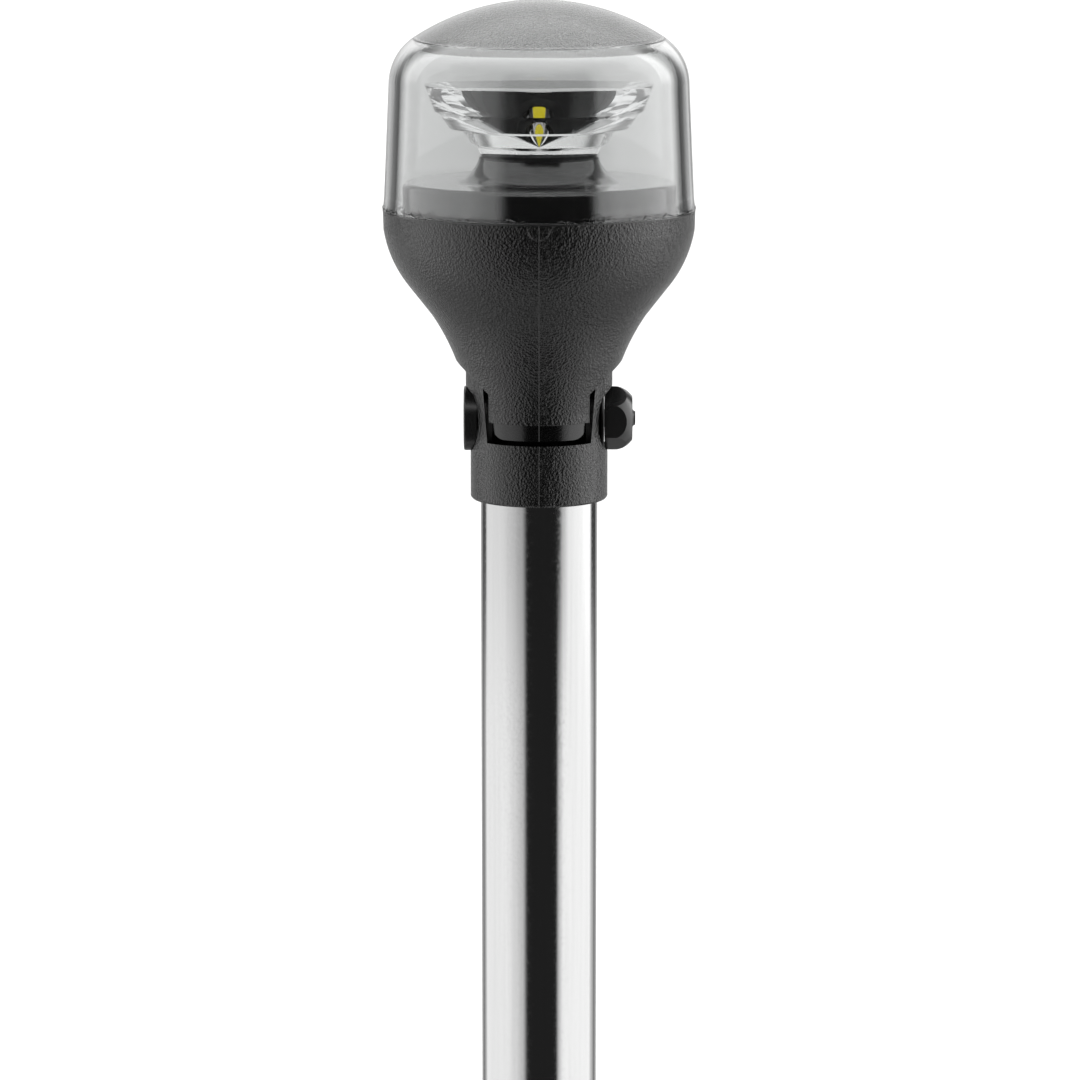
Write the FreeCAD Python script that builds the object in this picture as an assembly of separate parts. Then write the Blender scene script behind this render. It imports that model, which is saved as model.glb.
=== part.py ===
"""All-round navigation light on a plug-in pole, with a tilting head clamped by a knob.

Millimetres. +Z runs up the pole from the centre of its bottom end. The head tilts about
an axis along X, and the clamping knob is on the +X side.
"""
import FreeCAD, Part
import math
import os

V = FreeCAD.Vector
X_AXIS = V(1, 0, 0)
Z_AXIS = V(0, 0, 1)

# --- driving dimensions -------------------------------------------------------------
TOTAL_H = 304.8            # nominal 12 inch light, bottom of pole to top of globe
POLE_R = 12.7              # 1 inch tube
POLE_WALL = 1.3
PIVOT_Z = 214.7            # tilt axis above the pole's bottom end
MOVE_GAP = 0.2             # clearance between the head and the clevis
FIT_GAP = 0.05             # clearance of located and running fits

RIM_R = 33.6               # housing and globe where they meet
RIM_Z = 260.0
GLOBE_WALL = 2.5
DOME_R = 49.0              # globe's crown
SHOULDER_R = 12.0
GLOBE_TOP_R = 32.2         # side wall where the shoulder starts
GLOBE_DRAFT_R = 33.3       # side wall just above the rim flare
SPIGOT_R = 31.2            # globe's spigot inside the housing's rim
SPIGOT_WALL = 1.4
SPIGOT_LOW_Z = 255.35
SEAL_R = 30.35             # O-ring under the spigot
SEAL_SECTION_R = 0.62

HOUSING_WALL = 2.4
CAVITY_Z = 231.0           # floor of the driver's chamber
LEDGE_Z = 252.0            # the deck stands on this ledge
LEDGE_BORE_R = 28.6
RIM_BORE_R = 31.3
TONGUE_HALF = 10.85        # half the width of the tongue between the ears
TONGUE_R = 14.5            # rounded front and back of the tongue
LIP_Z = PIVOT_Z + 0.4
POCKET_R = 13.0            # round pockets in the funnel, over the tops of the ears
BARREL_R = 9.0
BARREL_HALF = 10.0
BARREL_ROUND = 2.5
SKIRT_R = 13.6             # smooth band under the lip, on the front and back of the barrel
SKIRT_LOW_Z = PIVOT_Z - 3.1
SKIRT_CORNER = 2.6

COLLAR_R = 14.9
COLLAR_Z0 = 197.4
EAR_TOP_R = POCKET_R - MOVE_GAP
CHEEK_R = 7.0              # upright swelling on the outside of each ear
CHEEK_X = 8.9
SLOT_FLOOR_Z = PIVOT_Z - 4.0
SLOT_HALF_LOW = 11.15
SLOT_HALF_HIGH = 12.1
SLOT_HIGH_Z = 222.5
EAR_PAD_R = 9.0            # flat round pads inside the slot, against the washers
TUBE_TOP_Z = 203.6
TUBE_SPIGOT_Z = 182.0      # collar's spigot reaches this far down inside the tube
TUBE_SPIGOT_R = 11.35
LEAD_WELL_R = 7.5
LEAD_WELL_TOP_Z = 201.5
CUP_R = 14.0               # hollow top of the collar, which the skirt dips into
CUP_FLOOR_Z = 206.3
COLLAR_SCREW_Z = 200.6

BOLT_R = 2.0
BOLT_TIP_X = 20.85
BUSH_R = 3.1
BUSH_X0 = 4.0
WASHER_R = 8.5
HEX_AF = 7.0
HEX_H = 2.6
BOSS_R = 7.0
BOSS_SEAT_X = 13.4         # spot face under each clamp piece
BOSS_FACE_X = 16.3
KNOB_CORNER_R = 6.95
KNOB_X0 = 14.25
KNOB_X1 = 20.2
INSERT_CORNER_R = 4.0
INSERT_X1 = 18.4

DECK_R = 29.4
DECK_TOP_Z = 266.3
PEDESTAL_R = 12.9
PEDESTAL_TOP_Z = 271.1
DECK_SKIN = 2.0
DECK_BORE_R = 10.5
DECK_FLANGE_R = 31.1
SINK_SLEEVE_Z = 256.5      # the sleeve around the heat sink ends above the driver board
DECK_SCREW_Y = 23.5        # screws' distance from the axis
DECK_POST_R = 3.8
SCREW_SEAT_Z = DECK_TOP_Z - 3.2
SCREW_WELL_R = 2.9

HEAT_SINK_R = DECK_BORE_R - FIT_GAP
HEAT_SINK_Z = 258.0
FIN_CORE_R = 6.0
LED_LEAD_Y = 7.0
LED_BOARD_Z = 269.0
LED_BOARD_T = 1.15
LED_HALF = 3.5
LED_PLATE_T = 0.2
LED_CUP_R = 2.4
EMITTER_R = 2.0
LED_TOP_Z = LED_BOARD_Z + LED_BOARD_T + 0.55

FOCUS_Z = 270.8            # light source height, focus of the optic
APEX_RISE = 4.93           # source to the point of the optic's reflecting recess
OPTIC_TOP_Z = 286.9
# lower radius and height, upper radius and height of each tier of the optic
TIERS = (
    (12.45, 271.6, 13.5, 273.65),
    (14.6, 274.3, 16.5, 277.05),
    (19.3, 277.7, 21.4, 280.7),
    (22.5, 281.35, 24.6, OPTIC_TOP_Z),
)

DRIVER_Z = 247.0           # top of the driver board's pillars
DRIVER_R = 19.5
DRIVER_SCREW_Y = 14.5      # screws' distance from the axis
BOARD_T = 1.6
BOARD_TOP_Z = DRIVER_Z + BOARD_T
WIRE_R = 0.9
WIRE_X = 1.15              # each lead's distance from the middle plane
WIRE_Y = 5.4               # leads pass behind the bolt
WIRE_BORE_R = 2.1
GROMMET_R = 4.2
GROMMET_Z = 228.0
WIRE_JOIN_LOW_Z = 196.0
WIRE_JOIN_HIGH_Z = 224.0

PLUG_R = 11.35
PLUG_H = 22.0
WELL_R = 8.0
WELL_DEPTH = 11.0
PIN_R = 1.5
PIN_SHANK_R = 1.3          # in the plug, behind the exposed contact
PIN_X = 4.0
PIN_Z0 = 2.0
PIN_TOP_Z = 26.0
RIVET_Z = 9.0


# --- small helpers ------------------------------------------------------------------
def cyl(r, z0, z1, x=0.0, y=0.0):
    return Part.makeCylinder(r, z1 - z0, V(x, y, z0), Z_AXIS)


def xcyl(r, x0, x1, y=0.0, z=PIVOT_Z):
    return Part.makeCylinder(r, x1 - x0, V(x0, y, z), X_AXIS)


def tube(r_out, r_in, z0, z1):
    return cyl(r_out, z0, z1).cut(cyl(r_in, z0, z1))


def xtube(r_out, r_in, x0, x1):
    return xcyl(r_out, x0, x1).cut(xcyl(r_in, x0, x1))


def block(x0, x1, y0, y1, z0, z1):
    return Part.makeBox(x1 - x0, y1 - y0, z1 - z0, V(x0, y0, z0))


def closed_face(start, steps):
    """Face in the XZ plane. A step is a point for a line, or (mid, end) for an arc."""
    edges = []
    here = start
    for step in list(steps) + [start]:
        if isinstance(step[0], tuple):
            mid, end = step
            arc = Part.Arc(V(here[0], 0, here[1]), V(mid[0], 0, mid[1]), V(end[0], 0, end[1]))
            edges.append(arc.toShape())
            here = end
        else:
            edges.append(Part.makeLine(V(here[0], 0, here[1]), V(step[0], 0, step[1])))
            here = step
    return Part.Face(Part.Wire(edges))


def lathe(start, steps):
    return closed_face(start, steps).revolve(V(0, 0, 0), Z_AXIS, 360)


def around_z(shape, angle):
    turned = shape.copy()
    turned.rotate(V(0, 0, 0), Z_AXIS, angle)
    return turned


def ring_of(make, count, first_angle):
    """Copies of one piece spaced evenly about the pole's axis."""
    return [around_z(make(), first_angle + 360.0 * i / count) for i in range(count)]


def mirrored_x(shape):
    return shape.mirror(V(0, 0, 0), X_AXIS)


def hex_along_x(corner_r, x0, x1):
    """Hexagonal bar along the tilt axis, with a corner at the top and at the bottom."""
    corners = []
    for i in range(7):
        a = math.radians(60 * i)
        corners.append(V(x0, corner_r * math.sin(a), PIVOT_Z + corner_r * math.cos(a)))
    return Part.Face(Part.makePolygon(corners)).extrude(V(x1 - x0, 0, 0))


# --- globe and optic ----------------------------------------------------------------
def globe_solid(inset):
    """Solid of revolution of the globe, shrunk by inset, above the rim."""
    side_top = GLOBE_TOP_R - inset
    side_low = GLOBE_DRAFT_R - inset
    dome_r = DOME_R - inset
    round_r = SHOULDER_R - inset
    crown_z = TOTAL_H - DOME_R
    round_x = GLOBE_TOP_R - SHOULDER_R
    round_z = crown_z + math.sqrt((DOME_R - SHOULDER_R) ** 2 - round_x ** 2)
    lean = math.atan2(round_x, round_z - crown_z)
    meet = (dome_r * math.sin(lean), crown_z + dome_r * math.cos(lean))
    half_lean = lean / 2
    dome_mid = (dome_r * math.sin(half_lean), crown_z + dome_r * math.cos(half_lean))
    bend = (math.pi / 2 + lean) / 2
    round_mid = (round_x + round_r * math.sin(bend), round_z + round_r * math.cos(bend))
    flare_r = RIM_R - inset
    flare_z = RIM_Z + 3.0
    apex = (0, crown_z + dome_r)
    return lathe((0, RIM_Z), [
        (flare_r, RIM_Z), (side_low, flare_z), (side_top, round_z),
        (round_mid, meet), (dome_mid, apex),
    ])


def make_globe():
    spigot = tube(SPIGOT_R, SPIGOT_R - SPIGOT_WALL, SPIGOT_LOW_Z, RIM_Z)
    shell = globe_solid(0).cut(globe_solid(GLOBE_WALL))
    return shell.fuse(spigot).removeSplitter()


def make_globe_seal():
    centre = V(0, 0, SPIGOT_LOW_Z - SEAL_SECTION_R - FIT_GAP)
    return Part.makeTorus(SEAL_R, SEAL_SECTION_R, centre, Z_AXIS)


def reflector_curve():
    """Parabola of revolution that turns the source's light out to the horizon."""
    rim_rise = OPTIC_TOP_Z - FOCUS_Z
    rim_r = (rim_rise ** 2 - APEX_RISE ** 2) / (2 * APEX_RISE)
    points = []
    steps = 8
    for i in range(steps + 1):
        r = rim_r * (i / steps) ** 2
        points.append(V(r, 0, FOCUS_Z + math.sqrt(APEX_RISE ** 2 + 2 * APEX_RISE * r)))
    curve = Part.BSplineCurve()
    curve.interpolate(points)
    return curve.toShape(), rim_r


def make_optic():
    curve, rim_r = reflector_curve()
    outline = [V(0, 0, PEDESTAL_TOP_Z), V(PEDESTAL_R, 0, PEDESTAL_TOP_Z)]
    outline.append(V(PEDESTAL_R, 0, TIERS[0][1]))
    for low_r, low_z, high_r, high_z in TIERS:
        outline.append(V(low_r, 0, low_z))
        outline.append(V(high_r, 0, high_z))
    outline.append(V(rim_r, 0, OPTIC_TOP_Z))
    edges = [Part.makeLine(a, b) for a, b in zip(outline, outline[1:])]
    edges.append(curve)
    edges.append(Part.makeLine(V(0, 0, FOCUS_Z + APEX_RISE), outline[0]))
    body = Part.Face(Part.Wire(Part.__sortEdges__(edges))).revolve(V(0, 0, 0), Z_AXIS, 360)
    source_dome = Part.makeSphere(3.7, V(0, 0, PEDESTAL_TOP_Z))
    return body.cut(source_dome)


# --- inside the globe ---------------------------------------------------------------
def make_inner_deck():
    top_round = 1.2
    knee = DECK_TOP_Z - top_round
    shell = lathe((DECK_BORE_R, LEDGE_Z + FIT_GAP), [
        (DECK_FLANGE_R, LEDGE_Z + FIT_GAP), (DECK_FLANGE_R, LEDGE_Z + 2.0), (DECK_R, LEDGE_Z + 2.0),
        (DECK_R, knee), ((DECK_R - 0.35, DECK_TOP_Z - 0.35), (DECK_R - top_round, DECK_TOP_Z)),
        (20.4, DECK_TOP_Z), ((15.0, 267.8), (PEDESTAL_R, PEDESTAL_TOP_Z)),
        (DECK_BORE_R, PEDESTAL_TOP_Z),
    ])
    sleeve_r = DECK_BORE_R + DECK_SKIN
    shell = shell.cut(tube(DECK_R - DECK_SKIN, sleeve_r, LEDGE_Z, DECK_TOP_Z - DECK_SKIN))
    shell = shell.cut(cyl(sleeve_r, LEDGE_Z, SINK_SLEEVE_Z))
    post_z = LEDGE_Z + FIT_GAP
    for post in ring_of(lambda: cyl(DECK_POST_R, post_z, DECK_TOP_Z - 1.0, 0, DECK_SCREW_Y), 3, 0):
        shell = shell.fuse(post)
    for hole in ring_of(lambda: cyl(1.6, LEDGE_Z, DECK_TOP_Z, 0, DECK_SCREW_Y), 3, 0):
        shell = shell.cut(hole)
    for well in ring_of(lambda: cyl(SCREW_WELL_R, SCREW_SEAT_Z, DECK_TOP_Z, 0, DECK_SCREW_Y), 3, 0):
        shell = shell.cut(well)
    return shell.removeSplitter()


def make_screw_plugs():
    """Flush plugs that hide the deck's screws."""
    low = DECK_TOP_Z - 1.1
    r = SCREW_WELL_R - FIT_GAP
    return Part.makeCompound(ring_of(lambda: cyl(r, low, DECK_TOP_Z, 0, DECK_SCREW_Y), 3, 0))


def screw_down(shank_r, head_r, head_h, seat_z, end_z, y):
    """Pan-head screw with a cross recess, driven down at the given distance from the axis."""
    head = cyl(head_r, seat_z, seat_z + head_h, 0, y)
    body = head.fuse(cyl(shank_r, end_z, seat_z, 0, y))
    arm = head_r * 0.6
    slot_w = head_r * 0.14
    top = seat_z + head_h
    cross = block(-arm, arm, y - slot_w, y + slot_w, top - head_h / 2, top + 1)
    cross = cross.fuse(block(-slot_w, slot_w, y - arm, y + arm, top - head_h / 2, top + 1))
    return body.cut(cross)


def make_deck_screws():
    return Part.makeCompound(ring_of(
        lambda: screw_down(1.5, 2.7, 1.8, SCREW_SEAT_Z, LEDGE_Z - 7.0, DECK_SCREW_Y), 3, 0))


def make_heat_sink():
    """Turned aluminium slug under the light source, with a finned lower end."""
    slug = cyl(HEAT_SINK_R, HEAT_SINK_Z, LED_BOARD_Z)
    fin_pitch = 2.2
    for i in range(3):
        z = HEAT_SINK_Z + 1.0 + i * fin_pitch
        slug = slug.cut(tube(HEAT_SINK_R + 1, FIN_CORE_R, z, z + fin_pitch / 2))
    lead_way = cyl(2.4, HEAT_SINK_Z - 1, LED_BOARD_Z + 1, 0, LED_LEAD_Y)
    return slug.cut(lead_way)


def make_led_board():
    board = cyl(HEAT_SINK_R, LED_BOARD_Z, LED_BOARD_Z + LED_BOARD_T)
    return board.cut(cyl(2.0, LED_BOARD_Z - 1, LED_BOARD_Z + 2, 0, LED_LEAD_Y))


def make_led_package():
    """Silvery square carrier with a raised round cup for the light source."""
    z = LED_BOARD_Z + LED_BOARD_T
    plate = block(-LED_HALF, LED_HALF, -LED_HALF, LED_HALF, z, z + LED_PLATE_T)
    raised = plate.fuse(cyl(LED_CUP_R, z, LED_TOP_Z))
    return raised.cut(cyl(EMITTER_R, LED_TOP_Z - 0.3, LED_TOP_Z + 1)).removeSplitter()


def make_led_emitter():
    return cyl(EMITTER_R - FIT_GAP / 2, LED_TOP_Z - 0.3, LED_TOP_Z + 0.08)


# --- housing ------------------------------------------------------------------------
def housing_outer():
    neck_z = 217.0
    return lathe((0, LIP_Z), [
        (TONGUE_R, LIP_Z), (TONGUE_R, neck_z),
        ((15.9, 222.6), (18.1, 227.8)), ((20.1, 232.3), (23.1, 237.4)),
        (28.2, 243.9), ((31.9, 250.2), (33.5, 256.0)),
        (RIM_R, RIM_Z), (0, RIM_Z),
    ])


def housing_cavity():
    wall = HOUSING_WALL
    return lathe((0, CAVITY_Z), [
        (14.6, CAVITY_Z), (18.6, CAVITY_Z + 4.5), (20.9, CAVITY_Z + 7.9),
        (28.2 - wall * 0.85, 243.9 + wall * 0.4),
        (LEDGE_BORE_R, LEDGE_Z - 1.5), (LEDGE_BORE_R, LEDGE_Z),
        (RIM_BORE_R, LEDGE_Z), (RIM_BORE_R, RIM_Z + 1), (0, RIM_Z + 1),
    ])


def side_pockets():
    """Spaces beside the tongue for the ears, round about the tilt axis at the top."""
    below = block(TONGUE_HALF, 45.0, -45.0, 45.0, 190.0, PIVOT_Z + 1.0)
    half = xcyl(POCKET_R, TONGUE_HALF, 45.0).fuse(below)
    return half.fuse(mirrored_x(half))


def barrel():
    """Rounded knuckle about the tilt axis, with softened ends."""
    flat = BARREL_HALF - BARREL_ROUND
    mid = BARREL_ROUND * math.sin(math.pi / 4)
    edge_r = BARREL_R - BARREL_ROUND
    right = ((flat + mid, edge_r + mid), (BARREL_HALF, edge_r))
    left = ((-flat - mid, edge_r + mid), (-flat, BARREL_R))
    face = closed_face((-BARREL_HALF, 0), [(-BARREL_HALF, edge_r), left, (flat, BARREL_R), right,
                                           (BARREL_HALF, 0)])
    solid = face.revolve(V(0, 0, 0), X_AXIS, 360)
    solid.translate(V(0, 0, PIVOT_Z))
    return solid


def skirt():
    """Upright band that carries the tongue's curve down over the barrel."""
    half = BARREL_HALF
    c = SKIRT_CORNER
    m = c * (1 - math.sin(math.pi / 4))
    low = SKIRT_LOW_Z
    face = closed_face((-half, LIP_Z + 1), [
        (-half, low + c), ((-half + m, low + m), (-half + c, low)),
        (half - c, low), ((half - m, low + m), (half, low + c)), (half, LIP_Z + 1),
    ])
    band = face.extrude(V(0, 40.0, 0))
    band.translate(V(0, -20.0, 0))
    return band.common(cyl(SKIRT_R, low - 1, LIP_Z + 1))


def make_head_housing():
    shell = housing_outer().cut(side_pockets()).cut(housing_cavity())
    posts = ring_of(lambda: cyl(2.9, CAVITY_Z + 5, LEDGE_Z, 0, DECK_SCREW_Y), 3, 0)
    posts += ring_of(lambda: cyl(2.6, CAVITY_Z - 2, DRIVER_Z, 0, DRIVER_SCREW_Y), 3, 60)
    inside = housing_outer()
    for post in posts:
        shell = shell.fuse(post.common(inside))
    for hole in ring_of(lambda: cyl(1.52, LEDGE_Z - 8, LEDGE_Z + 1, 0, DECK_SCREW_Y), 3, 0):
        shell = shell.cut(hole)
    for hole in ring_of(lambda: cyl(1.2, DRIVER_Z - 8, DRIVER_Z + 1, 0, DRIVER_SCREW_Y), 3, 60):
        shell = shell.cut(hole)
    shell = shell.fuse(barrel()).fuse(skirt())
    shell = shell.cut(xcyl(BOLT_R + 0.4, -TONGUE_HALF - 1, TONGUE_HALF + 1))
    bush_seat = xcyl(BUSH_R, BUSH_X0, TONGUE_HALF + 1)
    washer_seat = xcyl(WASHER_R + 0.25, BARREL_HALF, TONGUE_HALF + 1)
    for seat in (bush_seat, washer_seat):
        shell = shell.cut(seat).cut(mirrored_x(seat))
    for x in (-WIRE_X, WIRE_X):
        shell = shell.cut(cyl(WIRE_BORE_R, TUBE_TOP_Z, CAVITY_Z + 1, x, WIRE_Y))
    grommet_seat = cyl(GROMMET_R, GROMMET_Z, CAVITY_Z + 1, 0, WIRE_Y)
    return shell.cut(grommet_seat).removeSplitter()


def make_hinge_bushings():
    right = xtube(BUSH_R - FIT_GAP, BOLT_R + FIT_GAP, BUSH_X0, BARREL_HALF)
    return Part.makeCompound([right, mirrored_x(right)])


def make_lead_grommet():
    flange_z = CAVITY_Z + FIT_GAP
    plug = cyl(GROMMET_R - FIT_GAP, GROMMET_Z + FIT_GAP, flange_z, 0, WIRE_Y)
    plug = plug.fuse(cyl(GROMMET_R + 1, flange_z, flange_z + 1.5, 0, WIRE_Y))
    for x in (-WIRE_X, WIRE_X):
        plug = plug.cut(cyl(WIRE_R + 0.02, GROMMET_Z, flange_z + 2, x, WIRE_Y))
    return plug.removeSplitter()


# --- driver electronics -------------------------------------------------------------
def make_driver_board():
    board = cyl(DRIVER_R, DRIVER_Z, DRIVER_Z + BOARD_T)
    for hole in ring_of(lambda: cyl(1.5, DRIVER_Z - 1, DRIVER_Z + 3, 0, DRIVER_SCREW_Y), 3, 60):
        board = board.cut(hole)
    return board


def make_driver_screws():
    return Part.makeCompound(ring_of(
        lambda: screw_down(1.15, 2.3, 1.5, BOARD_TOP_Z, DRIVER_Z - 6.5, DRIVER_SCREW_Y), 3, 60))


def make_driver_inductor():
    top = BOARD_TOP_Z
    core = cyl(4.2, top, top + 0.8, -6.5, 3.0).fuse(cyl(2.2, top, top + 4.6, -6.5, 3.0))
    return core.fuse(cyl(4.2, top + 3.8, top + 4.6, -6.5, 3.0)).removeSplitter()


def make_driver_capacitors():
    top = BOARD_TOP_Z
    cans = [cyl(3.15, top, top + 5.6, 6.5, 5.0), cyl(3.15, top, top + 5.6, 7.0, -4.5)]
    return Part.makeCompound(cans)


def make_driver_chips():
    top = BOARD_TOP_Z
    chips = [block(-3.5, 1.4, -7.2, -3.3, top, top + 1.5)]
    for i in range(4):
        y = -11.2 - 0.6 * (i % 2)
        chips.append(block(-5.0 + 3.2 * i, -3.0 + 3.2 * i, y, y + 1.2, top, top + 0.7))
    chips.append(block(-13.6, -9.4, -7.0, -3.0, top, top + 2.2))
    return Part.makeCompound(chips)


# --- pole, collar and clamp ---------------------------------------------------------
def make_pole_tube():
    neck_z = COLLAR_Z0 - 0.2
    outer = cyl(POLE_R, 0, neck_z).fuse(cyl(POLE_R - 0.2, neck_z, TUBE_TOP_Z))
    body = outer.cut(cyl(POLE_R - POLE_WALL, -1, TUBE_TOP_Z + 1))
    for angle in (0, 180):
        body = body.cut(around_z(xcyl(1.65, 5.0, 15.0, 0, RIVET_Z), angle))
    screw_hole = around_z(xcyl(1.55, 5.0, 13.0, 0, COLLAR_SCREW_Z), 90)
    return body.cut(screw_hole).removeSplitter()


def slot_cutter():
    """The clevis slot, with a round trough for the barrel and flat pads on the ears."""
    face = closed_face((-SLOT_HALF_LOW, SLOT_FLOOR_Z), [
        (SLOT_HALF_LOW, SLOT_FLOOR_Z), (SLOT_HALF_HIGH, SLOT_HIGH_Z),
        (SLOT_HALF_HIGH + 0.6, 232.0), (-SLOT_HALF_HIGH - 0.6, 232.0), (-SLOT_HALF_HIGH, SLOT_HIGH_Z),
    ])
    cutter = face.extrude(V(0, 60.0, 0))
    cutter.translate(V(0, -30.0, 0))
    pad = xcyl(EAR_PAD_R, SLOT_HALF_LOW, SLOT_HALF_HIGH + 1.0)
    cutter = cutter.cut(pad).cut(mirrored_x(pad))
    cup = block(-SLOT_HALF_LOW, SLOT_HALF_LOW, -CUP_R, CUP_R, CUP_FLOOR_Z, SLOT_FLOOR_Z + 1)
    cutter = cutter.fuse(cup.common(cyl(CUP_R, CUP_FLOOR_Z, SLOT_FLOOR_Z + 1)))
    return cutter.fuse(xcyl(BARREL_R + 0.4, -SLOT_HALF_LOW, SLOT_HALF_LOW))


def collar_outer():
    """Sleeve and both ears before the slot is cut; the ears end round about the tilt axis."""
    ears = cyl(COLLAR_R, PIVOT_Z, PIVOT_Z + EAR_TOP_R)
    for x in (-CHEEK_X, CHEEK_X):
        ears = ears.fuse(cyl(CHEEK_R, PIVOT_Z, PIVOT_Z + EAR_TOP_R, x, 0))
    ears = ears.common(xcyl(EAR_TOP_R, -25.0, 25.0))
    sleeve = lathe((0, TUBE_SPIGOT_Z), [
        (TUBE_SPIGOT_R, TUBE_SPIGOT_Z), (TUBE_SPIGOT_R, TUBE_TOP_Z + 0.1), (12.55, TUBE_TOP_Z + 0.1),
        (12.55, COLLAR_Z0), (COLLAR_R - 0.3, COLLAR_Z0), (COLLAR_R, COLLAR_Z0 + 0.4),
        (COLLAR_R, PIVOT_Z), (0, PIVOT_Z),
    ])
    return sleeve.fuse(ears)


def make_pole_collar():
    body = collar_outer().cut(slot_cutter())
    body = body.cut(cyl(LEAD_WELL_R, TUBE_SPIGOT_Z - 1, LEAD_WELL_TOP_Z))
    lead_slot = block(-3.4, 3.4, 1.2, 9.4, LEAD_WELL_TOP_Z - 1, SLOT_FLOOR_Z)
    body = body.cut(lead_slot)
    seats = xcyl(BOSS_R + 0.35, BOSS_SEAT_X, 25.0)
    body = body.cut(seats).cut(mirrored_x(seats))
    bolt_way = xcyl(BOLT_R + 0.1, -25.0, 25.0)
    screw_way = around_z(xcyl(1.5, 5.0, 20.0, 0, COLLAR_SCREW_Z), 90)
    return body.cut(bolt_way).cut(screw_way).removeSplitter()


def make_collar_screw():
    screw = xcyl(1.45, 8.2, COLLAR_R - 0.6, 0, COLLAR_SCREW_Z)
    socket = xcyl(0.8, COLLAR_R - 2.4, COLLAR_R, 0, COLLAR_SCREW_Z)
    return around_z(screw.cut(socket), 90)


def make_hinge_bolt():
    head = hex_along_x(HEX_AF / math.sqrt(3), -BOSS_SEAT_X - HEX_H, -BOSS_SEAT_X)
    shank = xcyl(BOLT_R, -BOSS_SEAT_X, BOLT_TIP_X - 0.6)
    tip_r = 1.53
    tip = Part.makeCone(BOLT_R, tip_r, 0.35, V(BOLT_TIP_X - 0.6, 0, PIVOT_Z), X_AXIS)
    end = xcyl(tip_r, BOLT_TIP_X - 0.25, BOLT_TIP_X)
    return head.fuse(shank).fuse(tip).fuse(end).removeSplitter()


def make_bolt_cap():
    cap = xcyl(BOSS_R, -BOSS_FACE_X, -BOSS_SEAT_X - FIT_GAP)
    rim = [e for e in cap.Edges if abs(e.BoundBox.XMax + BOSS_FACE_X) < 0.01]
    cap = cap.makeFillet(0.4, rim)
    pocket_end = -BOSS_SEAT_X - HEX_H - FIT_GAP
    pocket = hex_along_x(HEX_AF / math.sqrt(3) + FIT_GAP, pocket_end, -BOSS_SEAT_X + 1)
    return cap.cut(pocket)


def make_friction_washers():
    right = xtube(WASHER_R, BOLT_R + FIT_GAP, BARREL_HALF + FIT_GAP, SLOT_HALF_LOW - FIT_GAP)
    return Part.makeCompound([right, mirrored_x(right)])


def make_knob_washer():
    return xtube(5.2, BOLT_R + FIT_GAP, BOSS_SEAT_X + 0.02, BOSS_SEAT_X + 0.62)


def make_knob():
    """Hexagonal grip with a domed outer end, hollowed for its threaded insert."""
    grip = hex_along_x(KNOB_CORNER_R, KNOB_X0, KNOB_X1)
    end_r = 4.9
    face = closed_face((KNOB_X0, 0), [
        (KNOB_X0, 6.6), (KNOB_X0 + 0.4, 7.0), (16.4, 7.0),
        ((18.5, 6.3), (KNOB_X1 - 0.1, end_r)), (KNOB_X1, end_r - 0.1), (KNOB_X1, 0),
    ])
    dome = face.revolve(V(0, 0, 0), X_AXIS, 360)
    dome.translate(V(0, 0, PIVOT_Z))
    body = grip.common(dome)
    body = body.cut(xcyl(BOLT_R + 0.1, KNOB_X0 - 1, KNOB_X1 + 1))
    return body.cut(hex_along_x(INSERT_CORNER_R, KNOB_X0 - 1, INSERT_X1))


def make_knob_insert():
    nut = hex_along_x(INSERT_CORNER_R - FIT_GAP, KNOB_X0 + 0.05, INSERT_X1 - FIT_GAP)
    return nut.cut(xcyl(BOLT_R + FIT_GAP, KNOB_X0 - 1, INSERT_X1 + 1))


# --- plug end of the pole -----------------------------------------------------------
def make_pole_plug():
    body = cyl(PLUG_R, 0, PLUG_H).cut(cyl(WELL_R, -1, WELL_DEPTH))
    key = block(-1.6, 1.6, -WELL_R - 0.2, -WELL_R + 1.6, 0, WELL_DEPTH)
    body = body.fuse(key)
    for x in (-PIN_X, PIN_X):
        body = body.cut(cyl(PIN_SHANK_R + 0.02, 0, PLUG_H + 1, x, 0))
    for angle in (0, 180):
        body = body.cut(around_z(xcyl(1.2, 9.0, 15.0, 0, RIVET_Z), angle))
    return body.removeSplitter()


def make_contact_pins():
    pins = []
    for x in (-PIN_X, PIN_X):
        pin = cyl(PIN_R, PIN_Z0 + PIN_R, WELL_DEPTH - FIT_GAP, x, 0)
        pin = pin.fuse(Part.makeSphere(PIN_R, V(x, 0, PIN_Z0 + PIN_R)))
        pin = pin.fuse(cyl(PIN_SHANK_R, WELL_DEPTH - 1.0, PIN_TOP_Z, x, 0))
        solder_cup = cyl(WIRE_R + FIT_GAP, PIN_TOP_Z - 3.0, PIN_TOP_Z + 1, x, 0)
        pins.append(pin.cut(solder_cup).removeSplitter())
    return Part.makeCompound(pins)


def make_plug_rivets():
    rivets = []
    for angle in (0, 180):
        head = xcyl(1.6, POLE_R - POLE_WALL + 0.05, POLE_R + 1.0, 0, RIVET_Z)
        head = head.common(cyl(POLE_R - 0.02, 0, RIVET_Z + 5.0))
        shank = xcyl(1.15, 9.1, POLE_R - POLE_WALL + 0.1, 0, RIVET_Z)
        rivets.append(around_z(head.fuse(shank).removeSplitter(), angle))
    return Part.makeCompound(rivets)


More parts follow.
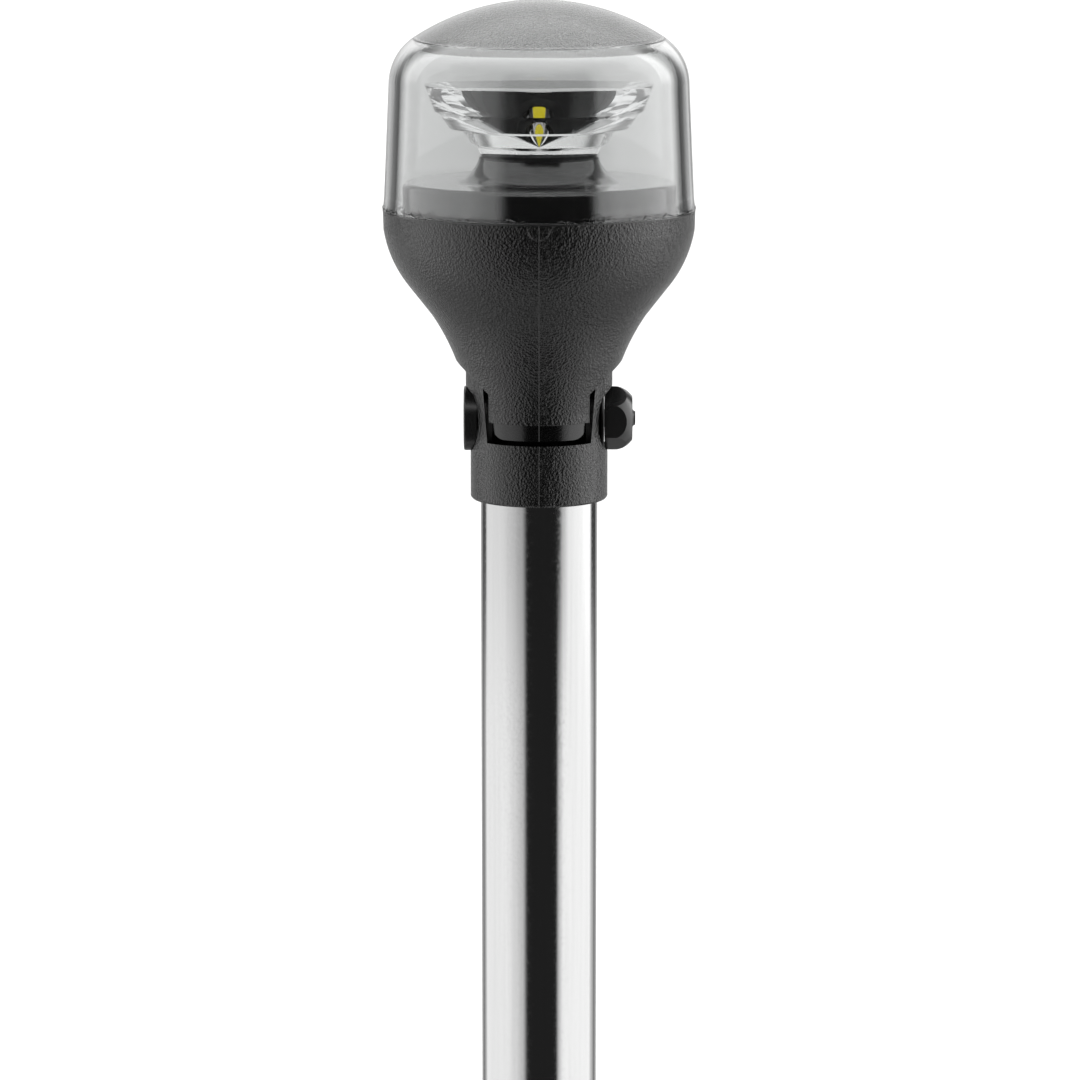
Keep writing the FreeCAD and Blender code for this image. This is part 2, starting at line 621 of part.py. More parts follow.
# --- leads --------------------------------------------------------------------------
def rounded_route(points):
    """Wire of straight runs joined by tangent arcs, as large as the runs allow."""
    stops = [V(*p) for p in points]
    edges = []
    here = stops[0]
    for before, corner, after in zip(stops, stops[1:], stops[2:]):
        into = (corner - before).normalize()
        away = (after - corner).normalize()
        reach = 0.45 * min((corner - before).Length, (after - corner).Length)
        turn = into.getAngle(away)
        radius = reach / math.tan(turn / 2)
        inward = (away - into).normalize()
        start = corner - into * reach
        end = corner + away * reach
        middle = corner + inward * (radius / math.cos(turn / 2) - radius)
        edges.append(Part.LineSegment(here, start).toShape())
        edges.append(Part.Arc(start, middle, end).toShape())
        here = end
    edges.append(Part.LineSegment(here, stops[-1]).toShape())
    return Part.Wire(edges)


def swept_lead(points):
    """One insulated lead through (x, y, z) points, starting straight up."""
    section = Part.Wire(Part.makeCircle(WIRE_R, V(*points[0]), Z_AXIS))
    return rounded_route(points).makePipeShell([section], True, True)


def make_pole_leads():
    leads = []
    for side in (-1, 1):
        leads.append(swept_lead([
            (side * PIN_X, 0, PIN_TOP_Z - 2.8), (side * PIN_X, 0, 60.0),
            (side * 2.3, 2.4, 110.0), (side * WIRE_X, WIRE_Y, 157.0),
            (side * WIRE_X, WIRE_Y, WIRE_JOIN_LOW_Z),
        ]))
    return Part.makeCompound(leads)


def make_hinge_leads():
    leads = []
    for side in (-1, 1):
        leads.append(cyl(WIRE_R, WIRE_JOIN_LOW_Z, WIRE_JOIN_HIGH_Z, side * WIRE_X, WIRE_Y))
    return Part.makeCompound(leads)


def make_head_leads():
    leads = []
    for side in (-1, 1):
        leads.append(cyl(WIRE_R, WIRE_JOIN_HIGH_Z, DRIVER_Z, side * WIRE_X, WIRE_Y))
    return Part.makeCompound(leads)


def make_led_leads():
    leads = []
    for side in (-1, 1):
        x = side * 1.0
        leads.append(cyl(0.6, BOARD_TOP_Z, LED_BOARD_Z + 0.9, x, LED_LEAD_Y))
    return Part.makeCompound(leads)


NODES = {
    "globe": make_globe,
    "globe_seal": make_globe_seal,
    "optic": make_optic,
    "inner_deck": make_inner_deck,
    "deck_screws": make_deck_screws,
    "screw_plugs": make_screw_plugs,
    "heat_sink": make_heat_sink,
    "led_board": make_led_board,
    "led_package": make_led_package,
    "led_emitter": make_led_emitter,
    "head_housing": make_head_housing,
    "hinge_bushings": make_hinge_bushings,
    "lead_grommet": make_lead_grommet,
    "driver_board": make_driver_board,
    "driver_screws": make_driver_screws,
    "driver_inductor": make_driver_inductor,
    "driver_capacitors": make_driver_capacitors,
    "driver_chips": make_driver_chips,
    "pole_tube": make_pole_tube,
    "pole_collar": make_pole_collar,
    "collar_screw": make_collar_screw,
    "hinge_bolt": make_hinge_bolt,
    "bolt_cap": make_bolt_cap,
    "friction_washers": make_friction_washers,
    "knob_washer": make_knob_washer,
    "knob": make_knob,
    "knob_insert": make_knob_insert,
    "pole_plug": make_pole_plug,
    "contact_pins": make_contact_pins,
    "plug_rivets": make_plug_rivets,
    "pole_leads": make_pole_leads,
    "hinge_leads": make_hinge_leads,
    "head_leads": make_head_leads,
    "led_leads": make_led_leads,
}

os.makedirs("parts", exist_ok=True)
for name, make in NODES.items():
    shape = make()
    print(name, len(shape.Solids), round(shape.Volume, 1), shape.isValid())
    shape.exportStep("parts/" + name + ".step")
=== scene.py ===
import math

import bmesh
import bpy
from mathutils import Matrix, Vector, noise


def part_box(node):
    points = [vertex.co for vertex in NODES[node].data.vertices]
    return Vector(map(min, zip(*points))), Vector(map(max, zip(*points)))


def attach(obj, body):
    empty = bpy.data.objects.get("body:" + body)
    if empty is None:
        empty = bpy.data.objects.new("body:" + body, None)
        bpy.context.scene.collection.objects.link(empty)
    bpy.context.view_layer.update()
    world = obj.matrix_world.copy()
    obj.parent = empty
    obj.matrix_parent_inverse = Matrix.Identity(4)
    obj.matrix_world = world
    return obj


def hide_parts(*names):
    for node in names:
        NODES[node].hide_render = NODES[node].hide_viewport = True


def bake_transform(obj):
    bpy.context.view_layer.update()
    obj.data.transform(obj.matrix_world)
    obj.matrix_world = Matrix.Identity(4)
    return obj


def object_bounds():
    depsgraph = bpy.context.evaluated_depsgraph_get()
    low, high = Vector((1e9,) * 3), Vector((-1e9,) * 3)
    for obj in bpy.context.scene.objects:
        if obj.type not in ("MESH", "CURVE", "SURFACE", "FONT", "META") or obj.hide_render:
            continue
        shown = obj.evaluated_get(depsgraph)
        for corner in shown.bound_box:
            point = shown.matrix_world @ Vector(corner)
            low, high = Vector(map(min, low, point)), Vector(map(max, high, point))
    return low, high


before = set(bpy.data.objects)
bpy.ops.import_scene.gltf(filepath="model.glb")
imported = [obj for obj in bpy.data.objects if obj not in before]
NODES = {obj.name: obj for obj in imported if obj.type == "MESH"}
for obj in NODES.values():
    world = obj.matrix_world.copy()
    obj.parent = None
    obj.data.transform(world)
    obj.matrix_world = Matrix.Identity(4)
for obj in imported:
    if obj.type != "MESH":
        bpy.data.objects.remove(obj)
CAD_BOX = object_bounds()


# --- camera ---------------------------------------------------------------------------
CAM_DISTANCE = 0.86
CAM_PITCH = math.radians(10.4)
CAM_LENS = 131.27            # in mm, as is the sensor's width
SENSOR_WIDTH = 36.0
AIM = Vector((0.0002, 0.0, CAD_BOX[1].z - 0.11706))


def camera():
    data = bpy.data.cameras.new("camera")
    data.sensor_width = SENSOR_WIDTH
    data.lens = CAM_LENS
    data.clip_start = 0.01
    obj = bpy.data.objects.new("camera", data)
    bpy.context.scene.collection.objects.link(obj)
    obj.location = AIM + Vector((0, -math.cos(CAM_PITCH), math.sin(CAM_PITCH))) * CAM_DISTANCE
    obj.rotation_euler = (math.pi / 2 - CAM_PITCH, 0, 0)
    bpy.context.scene.camera = obj


camera()


# --- node helpers ---------------------------------------------------------------------
class Tree:
    """Short calls for building the nodes of a material or of the world."""

    def __init__(self, owner):
        owner.use_nodes = True
        self.nodes = owner.node_tree.nodes
        self.links = owner.node_tree.links
        self.nodes.clear()

    def put(self, socket, value):
        """Link another node's output to the socket, or set the socket to a plain value."""
        if isinstance(value, bpy.types.NodeSocket):
            self.links.new(value, socket)
        else:
            socket.default_value = value

    def fill(self, node, inputs):
        """Put values into a node's inputs by name, with _ for each space."""
        for name, value in inputs.items():
            self.put(node.inputs[name.replace("_", " ")], value)

    def node(self, kind, settings=None, **inputs):
        node = self.nodes.new("ShaderNode" + kind)
        for name, value in (settings or {}).items():
            setattr(node, name, value)
        self.fill(node, inputs)
        return node

    def coords(self, scale=(1, 1, 1)):
        place = self.node("TexCoord").outputs["Object"]
        return self.node("Mapping", Vector=place, Scale=scale).outputs["Vector"]

    def axes(self, vector):
        return tuple(self.node("SeparateXYZ", Vector=vector).outputs)

    def noise(self, vector, scale, detail=2.0, rough=0.5):
        node = self.node("TexNoise", Vector=vector, Scale=scale, Detail=detail, Roughness=rough)
        return node.outputs["Fac"]

    def cells(self, vector, scale):
        return self.node("TexVoronoi", Vector=vector, Scale=scale).outputs["Distance"]

    def math(self, operation, a, b=0.0):
        node = self.node("Math", {"operation": operation})
        self.put(node.inputs[0], a)
        self.put(node.inputs[1], b)
        return node.outputs[0]

    def plus(self, a, b):
        return self.math("ADD", a, b)

    def minus(self, a, b):
        return self.math("SUBTRACT", a, b)

    def times(self, a, b):
        return self.math("MULTIPLY", a, b)

    def squares(self, *values):
        """Sum of the values' squares."""
        total = self.math("POWER", values[0], 2.0)
        for value in values[1:]:
            total = self.plus(total, self.math("POWER", value, 2.0))
        return total

    def between(self, a, b, share):
        """a where share is 0, b where it is 1."""
        return self.plus(self.times(b, share), self.times(a, self.minus(1.0, share)))

    def ramp(self, value, lo, hi, to_lo, to_hi, smooth=False):
        kind = "SMOOTHSTEP" if smooth else "LINEAR"
        node = self.node("MapRange", {"interpolation_type": kind}, Value=value,
                         From_Min=lo, From_Max=hi, To_Min=to_lo, To_Max=to_hi)
        return node.outputs["Result"]

    def line(self, value, centre, half_width):
        """1 on a thin line where value is at centre, falling to 0 half_width away."""
        away = self.math("ABSOLUTE", self.minus(value, centre))
        return self.ramp(away, 0.0, half_width, 1.0, 0.0, True)

    def shift(self, vector, amount):
        node = self.node("VectorMath", {"operation": "ADD"})
        self.put(node.inputs[0], vector)
        self.put(node.inputs[1], amount)
        return node.outputs["Vector"]

    def colour_mix(self, share, a, b):
        return self.node("Mix", {"data_type": "RGBA"}, Factor=share, A=a, B=b).outputs["Result"]

    def bump(self, height, distance, strength=1.0, normal=None):
        node = self.node("Bump", Height=height, Distance=distance, Strength=strength)
        if normal is not None:
            self.put(node.inputs["Normal"], normal)
        return node.outputs["Normal"]


class Material(Tree):
    """The nodes of a new material, around one principled shader."""

    def __init__(self, name):
        self.material = bpy.data.materials.new(name)
        super().__init__(self.material)
        self.shader = self.node("BsdfPrincipled")
        self.out = self.node("OutputMaterial", Surface=self.shader.outputs[0])

    def set(self, **inputs):
        self.fill(self.shader, inputs)


def grey(level, tint=(1, 1, 1)):
    return (level * tint[0], level * tint[1], level * tint[2], 1.0)


def darker(colour, share):
    return tuple(c * share for c in colour[:3]) + (1,)


# --- materials ------------------------------------------------------------------------
LIP_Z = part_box("head_housing")[0].z + 0.0094     # the housing is nearly smooth below this
RIM_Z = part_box("head_housing")[1].z
LIP_FADE = 0.0001
GRAIN_DEPTH = 0.00016
GRAIN_WOBBLE = 0.0009       # how far the grain's cells are pushed out of round
PARTING_HALF = 0.00012      # half the width of a mould's parting line
SCAR_Z = RIM_Z - 0.0006     # centre of the gate's scar, its half sizes, and its top
SCAR_HALF_X = 0.0024
SCAR_HALF_Z = 0.0026
SCAR_TOP_Z = RIM_Z - 0.0008
GLOBE_TOP_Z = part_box("globe")[1].z
CROWN_R = 0.049             # radius of the crown's outer sphere
CROWN_CENTRE_Z = GLOBE_TOP_Z - CROWN_R
CROWN_Z = GLOBE_TOP_Z - 0.0100                   # lower edge of the frosting
CROWN_SKIN = 0.0012         # deeper than this below the sphere is the crown's inside
GLOBE_SEAM_X = 0.0069


def gate_scar(t, at, x, z):
    """Mask of the bowed scar that the mould's gate left under the housing's rim."""
    across = t.math("DIVIDE", x, SCAR_HALF_X)
    down = t.math("DIVIDE", t.minus(z, SCAR_Z), SCAR_HALF_Z)
    reach = t.plus(t.math("SQRT", t.squares(across, down)), t.times(t.noise(at, 900), 0.3))
    below_rim = t.ramp(z, SCAR_TOP_Z, SCAR_TOP_Z - 0.0002, 0.0, 1.0)
    return t.times(t.line(reach, 1.15, 0.09), below_rim)


def grained_black(name, housing=False):
    """Coarse spark-eroded grain with a mould parting line at the front and back.

    On the housing it stops at the lip, and there is a gate scar under the rim.
    """
    t = Material(name)
    at = t.coords()
    x, y, z = t.axes(at)
    wobble = t.times(t.minus(t.noise(at, 700), 0.5), GRAIN_WOBBLE)
    fine = t.noise(at, 3800, 3, 0.7)
    patch = t.noise(at, 110, 3)
    grain = t.plus(t.times(t.cells(t.shift(at, wobble), 1900), 0.9), t.times(fine, 0.45))
    if housing:
        grain = t.times(grain, t.ramp(z, LIP_Z - LIP_FADE, LIP_Z + LIP_FADE, 0.06, 1.0))
    normal = t.bump(grain, GRAIN_DEPTH)
    normal = t.bump(t.line(x, 0.0, PARTING_HALF), 0.00006, 0.8, normal)
    if housing:
        normal = t.bump(gate_scar(t, at, x, z), 0.00010, 0.8, normal)
    colour = t.colour_mix(patch, grey(0.0012, (0.95, 1, 0.98)), grey(0.003, (0.97, 1, 0.98)))
    t.set(Base_Color=colour, Roughness=t.ramp(fine, 0.3, 0.75, 0.11, 0.21),
          IOR=1.52, Specular_IOR_Level=0.54, Normal=normal)
    return t.material


def smooth_black(name, rough=0.22, level=0.62, ior=1.52):
    t = Material(name)
    at = t.coords()
    fine = t.noise(at, 1500, 3)
    patch = t.noise(at, 60, 3)
    t.set(Base_Color=t.colour_mix(patch, grey(0.005), grey(0.009)),
          Roughness=t.ramp(patch, 0.3, 0.7, rough, rough * 1.5),
          IOR=ior, Specular_IOR_Level=level, Normal=t.bump(fine, 0.00002, 0.5))
    return t.material


def clear_plastic(name, ior, tint):
    t = Material(name)
    ripple = t.noise(t.coords(), 160)
    t.set(Base_Color=tint, Transmission_Weight=1.0, IOR=ior,
          Roughness=t.ramp(ripple, 0.3, 0.8, 0.0, 0.02), Normal=t.bump(ripple, 0.00004, 0.35))
    return t.material


def globe_plastic():
    """Smoky clear plastic, frosted and grained on the inside of the crown."""
    t = Material("clear_globe")
    at = t.coords()
    x, y, z = t.axes(at)
    from_centre = t.math("SQRT", t.squares(x, y, t.minus(z, CROWN_CENTRE_Z)))
    inner = t.math("LESS_THAN", from_centre, CROWN_R - CROWN_SKIN)
    crown = t.times(inner, t.ramp(z, CROWN_Z, CROWN_Z + 0.0003, 0.0, 1.0, True))
    grain = t.times(t.plus(t.cells(at, 1700), t.noise(at, 3000, 3, 0.7)), crown)
    edge = t.times(t.line(z, CROWN_Z, 0.00025), inner)
    waves = t.noise(t.coords((1, 1, 0.35)), 42)
    seam_line = t.line(x, GLOBE_SEAM_X, PARTING_HALF)
    normal = t.bump(grain, 0.00032)
    normal = t.bump(edge, 0.00025, 1.0, normal)
    normal = t.bump(waves, 0.00030, 0.3, normal)
    normal = t.bump(seam_line, 0.00002, 0.4, normal)
    t.set(Base_Color=t.colour_mix(crown, grey(0.895, (0.99, 1, 0.997)), grey(1.0)),
          Roughness=t.times(crown, 0.42), Transmission_Weight=1.0, IOR=1.58, Normal=normal)
    return t.material


def polished_tube():
    """Bright tube with fine streaks drawn along it."""
    t = Material("pole_aluminium")
    streak = t.noise(t.coords((1, 1, 0.02)), 900, 3)
    speck = t.noise(t.coords(), 1400, 4, 0.7)
    t.set(Base_Color=t.colour_mix(streak, grey(0.43), grey(0.49)), Metallic=1.0,
          Roughness=t.ramp(speck, 0.45, 0.8, 0.09, 0.24), Normal=t.bump(streak, 0.000004, 0.5))
    return t.material


def metal(name, colour, rough=0.28):
    t = Material(name)
    at = t.coords()
    patch = t.noise(at, 500, 3)
    t.set(Base_Color=t.colour_mix(patch, darker(colour, 0.85), colour), Metallic=1.0,
          Roughness=t.ramp(patch, 0.3, 0.7, rough * 0.8, rough * 1.3),
          Normal=t.bump(t.noise(at, 2500), 0.00001, 0.4))
    return t.material


def plain(name, colour, rough):
    t = Material(name)
    patch = t.noise(t.coords(), 1200, 3)
    t.set(Base_Color=t.colour_mix(patch, darker(colour, 0.8), colour),
          Roughness=t.ramp(patch, 0.3, 0.7, rough * 0.85, rough * 1.15),
          Normal=t.bump(patch, 0.00003, 0.4))
    return t.material


def phosphor():
    """Saturated yellow, with a faint glow that stands for its fluorescence."""
    t = Material("led_phosphor")
    patch = t.noise(t.coords(), 2500)
    colour = t.colour_mix(patch, (0.74, 0.62, 0.015, 1), (0.92, 0.80, 0.04, 1))
    t.set(Base_Color=colour, Roughness=0.5, Emission_Color=colour, Emission_Strength=0.55,
          Normal=t.bump(patch, 0.00003, 0.4))
    return t.material


MATS = {
    "housing": grained_black("black_grained_plastic", housing=True),
    "collar": grained_black("black_grained_collar"),
    "smooth": smooth_black("black_smooth_plastic"),
    "deck": smooth_black("black_deck", 0.06, 0.88, 1.7),
    "globe": globe_plastic(),
    "optic": clear_plastic("clear_optic", 1.49, grey(0.97)),
    "optic_foot": plain("optic_foot_black", grey(0.004), 0.6),
    "pole": polished_tube(),
    "steel": metal("steel", grey(0.62)),
    "black_steel": metal("black_oxide_steel", grey(0.06), 0.35),
    "brass": metal("brass", (0.75, 0.56, 0.26, 1)),
    "sink": metal("heat_sink_aluminium", grey(0.7), 0.35),
    "carrier": metal("led_carrier", grey(0.7), 0.3),
    "rubber": plain("black_rubber", grey(0.02), 0.7),
    "board": plain("circuit_board", (0.006, 0.008, 0.008, 1), 0.35),
    "phosphor": phosphor(),
    "bushing": plain("bushing_plastic", (0.7, 0.68, 0.62, 1), 0.4),
    "ferrite": plain("ferrite", grey(0.06), 0.6),
    "can": metal("capacitor_can", grey(0.7), 0.3),
    "chip": plain("chip_plastic", grey(0.02), 0.5),
    "nylon": plain("washer_nylon", grey(0.02), 0.45),
    "plug": plain("plug_plastic", grey(0.015), 0.45),
    "lead": plain("lead_insulation", grey(0.02), 0.4),
    "cement": clear_plastic("clear_cement", 1.5, grey(0.55)),
}
WEAR = {
    "globe": "globe", "screw_plugs": "deck", "globe_seal": "rubber", "inner_deck": "deck",
    "deck_screws": "steel", "heat_sink": "sink", "led_board": "board",
    "led_package": "carrier", "led_emitter": "phosphor", "head_housing": "housing",
    "hinge_bushings": "bushing", "lead_grommet": "rubber", "driver_board": "board",
    "driver_screws": "steel", "driver_inductor": "ferrite", "driver_capacitors": "can",
    "driver_chips": "chip", "pole_tube": "pole", "pole_collar": "collar",
    "collar_screw": "steel", "hinge_bolt": "black_steel", "bolt_cap": "smooth",
    "friction_washers": "nylon", "knob_washer": "black_steel", "knob": "smooth",
    "knob_insert": "brass", "pole_plug": "plug", "contact_pins": "brass",
    "plug_rivets": "sink", "pole_leads": "lead", "head_leads": "lead", "led_leads": "lead",
}


def dress(node, mat):
    obj = NODES[node]
    if not obj.material_slots:
        obj.data.materials.append(mat)
    for slot in obj.material_slots:
        slot.material = mat


for node, key in WEAR.items():
    dress(node, MATS[key])


# --- mesh helpers ---------------------------------------------------------------------
def angles(count):
    """Angles that divide the full turn evenly."""
    return [2 * math.pi * k / count for k in range(count)]


def skin(bm, rings, closed=True):
    """Join each ring of vertices to the next, and the last to the first if closed."""
    following = rings[1:] + rings[:1] if closed else rings[1:]
    for here, there in zip(rings, following):
        for j in range(len(here)):
            i = (j + 1) % len(here)
            bm.faces.new((here[j], here[i], there[i], there[j]))


def lathe(bm, profile, segments, marks):
    """Turn (radius, height) points about the pole's axis. Spans in marks get material 1."""
    rings = []
    for r, z in profile:
        around = angles(segments) if r > 1e-7 else [0.0]
        rings.append([bm.verts.new((r * math.cos(a), r * math.sin(a), z)) for a in around])
    for i, (low, high) in enumerate(zip(rings, rings[1:])):
        for k in range(segments):
            j = (k + 1) % segments
            corners = [low[k % len(low)], low[j % len(low)], high[j % len(high)], high[k % len(high)]]
            face = bm.faces.new(list(dict.fromkeys(corners)))
            face.material_index = 1 if i in marks else 0


def new_object(name, bm, mats, sharp=None):
    """Object shaded smooth, except at edges that turn by more than sharp degrees."""
    mesh = bpy.data.meshes.new(name)
    bmesh.ops.recalc_face_normals(bm, faces=bm.faces)
    bm.to_mesh(mesh)
    bm.free()
    for polygon in mesh.polygons:
        polygon.use_smooth = True
    if sharp is not None:
        mesh.set_sharp_from_angle(angle=math.radians(sharp))
    for mat in mats:
        mesh.materials.append(mat)
    obj = bpy.data.objects.new(name, mesh)
    bpy.context.scene.collection.objects.link(obj)
    return obj


def add_piece(name, bm, mats, body, sharp):
    obj = new_object(name, bm, mats, sharp)
    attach(obj, body)
    return obj


# --- optic ----------------------------------------------------------------------------
DOME_R = 0.0037             # air space around the light source
DOME_TURN = math.radians(60.0)                   # its clear part, from the axis
DOME_STEPS = 12
# black holder that the lens sits over: radius and height above the lens's foot
HOLDER = ((0.0036, 0.0024), (0.0050, 0.0026), (0.0100, 0.0021), (0.0118, 0.0012), (0.0122, 0.0))
FOOT_R = 0.0129
# each tier's lower radius and height, then its upper ones
OPTIC_TIERS = (
    (0.01245, 0.2716, 0.0134, 0.27365),
    (0.0146, 0.2743, 0.0165, 0.27705),
    (0.0193, 0.2777, 0.0214, 0.2807),
    (0.0225, 0.28135, 0.0246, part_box("optic")[1].z),
)
# The recess's section is a parabola. It is APEX_RISE high over its focus, which is level
# with the source and lies FOCUS_SHIFT beyond the axis.
APEX_RISE = 0.0047
FOCUS_SHIFT = 0.0018
RECESS_STEPS = 56


def optic():
    """Stepped clear lens with a curved recess above the light source."""
    low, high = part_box("optic")
    base = low.z
    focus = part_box("led_emitter")[1].z
    profile = []
    for i in range(DOME_STEPS + 1):
        a = DOME_TURN * i / DOME_STEPS
        profile.append((DOME_R * math.sin(a), base + DOME_R * math.cos(a)))
    first_black = len(profile) - 1
    profile += [(r, base + h) for r, h in HOLDER]
    black_spans = set(range(first_black, len(profile)))
    profile += [(FOOT_R, base), (FOOT_R, OPTIC_TIERS[0][1])]
    for r0, z0, r1, z1 in OPTIC_TIERS:
        profile += [(r0, z0), (r1, z1)]
    rim_r = ((high.z - focus) ** 2 - APEX_RISE ** 2) / (2 * APEX_RISE) - FOCUS_SHIFT
    for i in range(RECESS_STEPS + 1):
        r = rim_r * (1 - i / RECESS_STEPS) ** 2
        profile.append((r, focus + math.sqrt(APEX_RISE ** 2 + 2 * APEX_RISE * (r + FOCUS_SHIFT))))
    bm = bmesh.new()
    lathe(bm, profile, 288, black_spans)
    piece = add_piece("optic_lens", bm, [MATS["optic"], MATS["optic_foot"]], "head", 12.0)
    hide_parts("optic")


# --- seam of the globe and the housing ------------------------------------------------
def seam_ring(name, mat, centre_r, centre_z, size, blob, lift, seed):
    """Thin ring round the seam: size is its section's radius, blob its lumps, lift its waves."""
    bm = bmesh.new()
    rings = []
    for a in angles(540):
        out = Vector((math.cos(a), math.sin(a), 0))
        lump = max(0.0, noise.noise(out * 8.0 + Vector((seed, 0, 0))) - 0.12)
        lump += 0.6 * max(0.0, noise.noise(out * 26.0 + Vector((0, seed, 0))) - 0.1)
        shift = lift * noise.noise(out * 5.0 + Vector((0, 0, seed)))
        ring = []
        for b in angles(8):
            p = out * (centre_r + (size + 0.25 * blob * lump) * math.cos(b))
            p.z = centre_z + shift + blob * lump + (size + blob * lump) * math.sin(b)
            ring.append(bm.verts.new(p))
        rings.append(ring)
    skin(bm, rings)
    add_piece(name, bm, [mat], "head", 60.0)


def seam():
    """The housing's softened rim, and the cement squeezed out behind the globe's foot."""
    rim_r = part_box("head_housing")[1].x
    seam_ring("rim_lip", MATS["smooth"],
              rim_r - 0.00022, RIM_Z, 0.00027, 0.0, 0.00004, 2.0)
    seam_ring("cement_bead", MATS["cement"],
              rim_r - 0.00012, RIM_Z + 0.00028, 0.00016, 0.0011, 0.00008, 5.0)


# --- hinge ----------------------------------------------------------------------------
WASHER_R = 0.0078
WASHER_BORE_R = 0.0021
WASHER_EDGE = 0.00012


def clamp_washer():
    """Wide black washer that fills the gap between the ear and the knob."""
    low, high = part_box("knob_washer")
    centre_z = (low.z + high.z) / 2
    section = [
        (low.x, WASHER_BORE_R), (low.x, WASHER_R - WASHER_EDGE), (low.x + WASHER_EDGE, WASHER_R),
        (high.x - WASHER_EDGE, WASHER_R), (high.x, WASHER_R - WASHER_EDGE), (high.x, WASHER_BORE_R),
    ]
    bm = bmesh.new()
    rings = []
    for a in angles(96):
        rings.append([bm.verts.new((x, r * math.cos(a), centre_z + r * math.sin(a))) for x, r in section])
    skin(bm, rings)
    piece = add_piece("clamp_washer", bm, [MATS["black_steel"]], "pole", 28.0)
    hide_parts("knob_washer")


def hinge_leads():
    """The two wires that cross the hinge, drawn as straight tubes."""
    low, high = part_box("hinge_leads")
    radius = (high.y - low.y) / 2
    y = (high.y + low.y) / 2
    spans = 40
    bm = bmesh.new()
    for x in (low.x + radius, high.x - radius):
        rings = []
        for i in range(spans + 1):
            z = low.z + (high.z - low.z) * i / spans
            rings.append([bm.verts.new((x + radius * math.cos(a), y + radius * math.sin(a), z))
                          for a in angles(16)])
        skin(bm, rings, closed=False)
        bm.faces.new(rings[0])
        bm.faces.new(rings[-1])
    piece = new_object("bending_leads", bm, [MATS["lead"]])
    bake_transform(piece)
    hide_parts("hinge_leads")


optic()
seam()
clamp_washer()
hinge_leads()


# --- studio ---------------------------------------------------------------------------
FLOOR_GAP = 0.0005          # the floor lies this far below the object
FLOOR_HALF = 30             # from its centre to its edges

# The light comes from the world. Its level depends on the bearing, in degrees from the
# front and positive towards +X, and on the height, as the Z of the direction.
LEVEL_MAX = 4.0             # highest level that the tables can hold
# bearing and level of light there: near the horizon, and lower down
AROUND = (
    (-180, 0.75), (-158, 0.70), (-148, 0.16), (-134, 0.12), (-124, 1.8), (-84, 1.8), (-58, 1.35),
    (-36, 0.9), (-23, 0.03), (40, 0.03), (49, 1.2), (62, 2.2), (118, 2.9), (130, 0.08),
    (146, 0.10), (158, 0.78), (180, 0.76),
)
AROUND_LOW = (
    (-180, 0.80), (-158, 0.72), (-148, 0.35), (-138, 0.9), (-128, 2.1), (-69, 2.2), (-47, 1.75),
    (-34, 1.35), (-23, 0.05), (-17, 0.035), (34, 0.035), (42, 1.6), (50, 2.35), (120, 2.4),
    (132, 1.2), (148, 0.35), (158, 0.76), (180, 0.80),
)
LOW_TO_HIGH = (-0.23, -0.18)                     # heights over which one becomes the other
TOP_LEVEL = 2.0             # overhead, whatever the bearing
TOP_HEIGHTS = (0.55, 0.8)
BOTTOM_SHARE = 0.5          # of the lower table's level, from straight below
BOTTOM_HEIGHTS = (-0.65, -0.34)
SIDE_FROM = 0.3             # X or Y of the direction from which the next two lifts apply
RIGHT_LIFT = 0.25           # the right light is brighter higher up
RIGHT_HEIGHTS = (-0.12, 0.15)
BACK_LIFT = 0.7             # and so is the backdrop, above the horizon
BACK_HEIGHTS = (0.0, 0.2)
CLEAR_MAX = 1.35            # brightest level seen through clear plastic


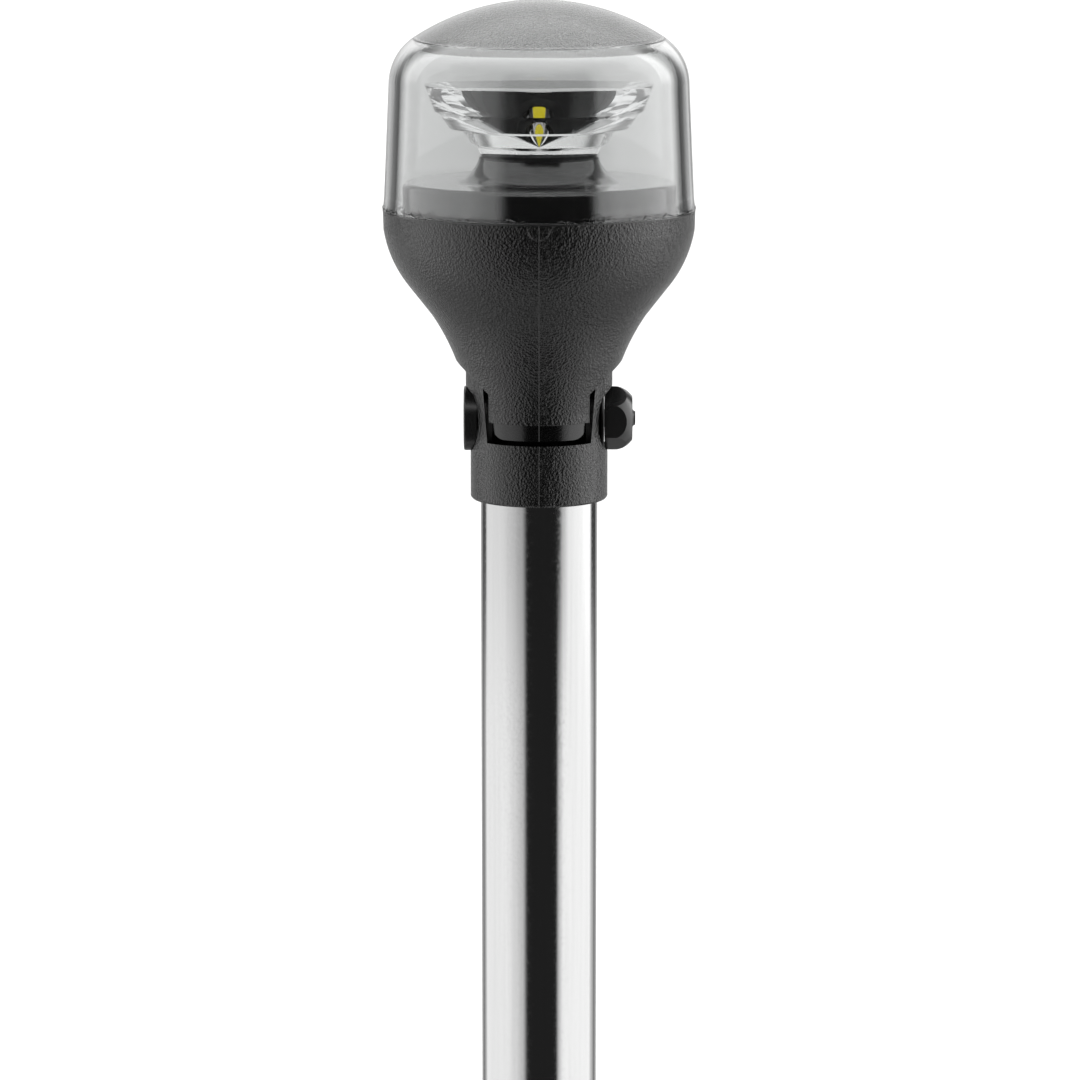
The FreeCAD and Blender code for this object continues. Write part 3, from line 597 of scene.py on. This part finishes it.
def floor():
    """Pale paper under the object, see-through from below, so that the foot can be seen."""
    mesh = bpy.data.meshes.new("floor")
    bm = bmesh.new()
    bmesh.ops.create_grid(bm, x_segments=1, y_segments=1, size=FLOOR_HALF)
    bm.to_mesh(mesh)
    bm.free()
    obj = bpy.data.objects.new("floor", mesh)
    bpy.context.scene.collection.objects.link(obj)
    obj.location.z = CAD_BOX[0].z - FLOOR_GAP
    t = Material("floor_paper")
    t.set(Base_Color=grey(0.86), Roughness=0.9, Specular_IOR_Level=0.1,
          Normal=t.bump(t.noise(t.coords(), 300), 0.0001, 0.2))
    one_sided = t.node("MixShader", Fac=t.node("NewGeometry").outputs["Backfacing"])
    t.put(one_sided.inputs[1], t.shader.outputs[0])
    t.put(one_sided.inputs[2], t.node("BsdfTransparent").outputs[0])
    t.put(t.out.inputs["Surface"], one_sided.outputs[0])
    mesh.materials.append(t.material)
    obj.visible_glossy = False
    obj.visible_transmission = False


def levels(t, turn, table):
    """Level of light at a turn of 0 to 1, which is -180 to 180 degrees of bearing."""
    around = t.node("ValToRGB", Fac=turn)
    around.color_ramp.interpolation = "EASE"
    elements = around.color_ramp.elements
    while len(elements) < len(table):
        elements.new(0.5)
    for element, (degrees, level) in zip(elements, table):
        element.position = degrees / 360 + 0.5
        element.color = (level / LEVEL_MAX,) * 3 + (1,)
    return t.times(around.outputs[0], LEVEL_MAX)


def light():
    world = bpy.data.worlds.new("world")
    bpy.context.scene.world = world
    t = Tree(world)
    x, y, z = t.axes(t.node("TexCoord").outputs["Generated"])
    bearing = t.math("ARCTAN2", x, t.times(y, -1.0))
    turn = t.plus(t.math("DIVIDE", bearing, 2 * math.pi), 0.5)
    right = t.times(t.math("GREATER_THAN", x, SIDE_FROM), t.ramp(z, *RIGHT_HEIGHTS, 0.0, RIGHT_LIFT, True))
    back = t.times(t.math("GREATER_THAN", y, SIDE_FROM), t.ramp(z, *BACK_HEIGHTS, 0.0, BACK_LIFT, True))
    upper = t.times(levels(t, turn, AROUND), t.plus(t.plus(right, back), 1.0))
    lower = t.times(levels(t, turn, AROUND_LOW), t.ramp(z, *BOTTOM_HEIGHTS, BOTTOM_SHARE, 1.0, True))
    level = t.between(lower, upper, t.ramp(z, *LOW_TO_HIGH, 0.0, 1.0, True))
    level = t.between(level, TOP_LEVEL, t.ramp(z, *TOP_HEIGHTS, 0.0, 1.0, True))
    through_clear = t.node("LightPath").outputs["Is Transmission Ray"]
    level = t.between(level, t.math("MINIMUM", level, CLEAR_MAX), through_clear)
    background = t.node("Background", Strength=level)
    t.node("OutputWorld", Surface=background.outputs[0])


def rendering():
    scene = bpy.context.scene
    scene.view_settings.view_transform = "Standard"
    scene.cycles.max_bounces = 24
    scene.cycles.transmission_bounces = 24
    scene.cycles.transparent_max_bounces = 24
    scene.cycles.glossy_bounces = 8


floor()
light()
rendering()
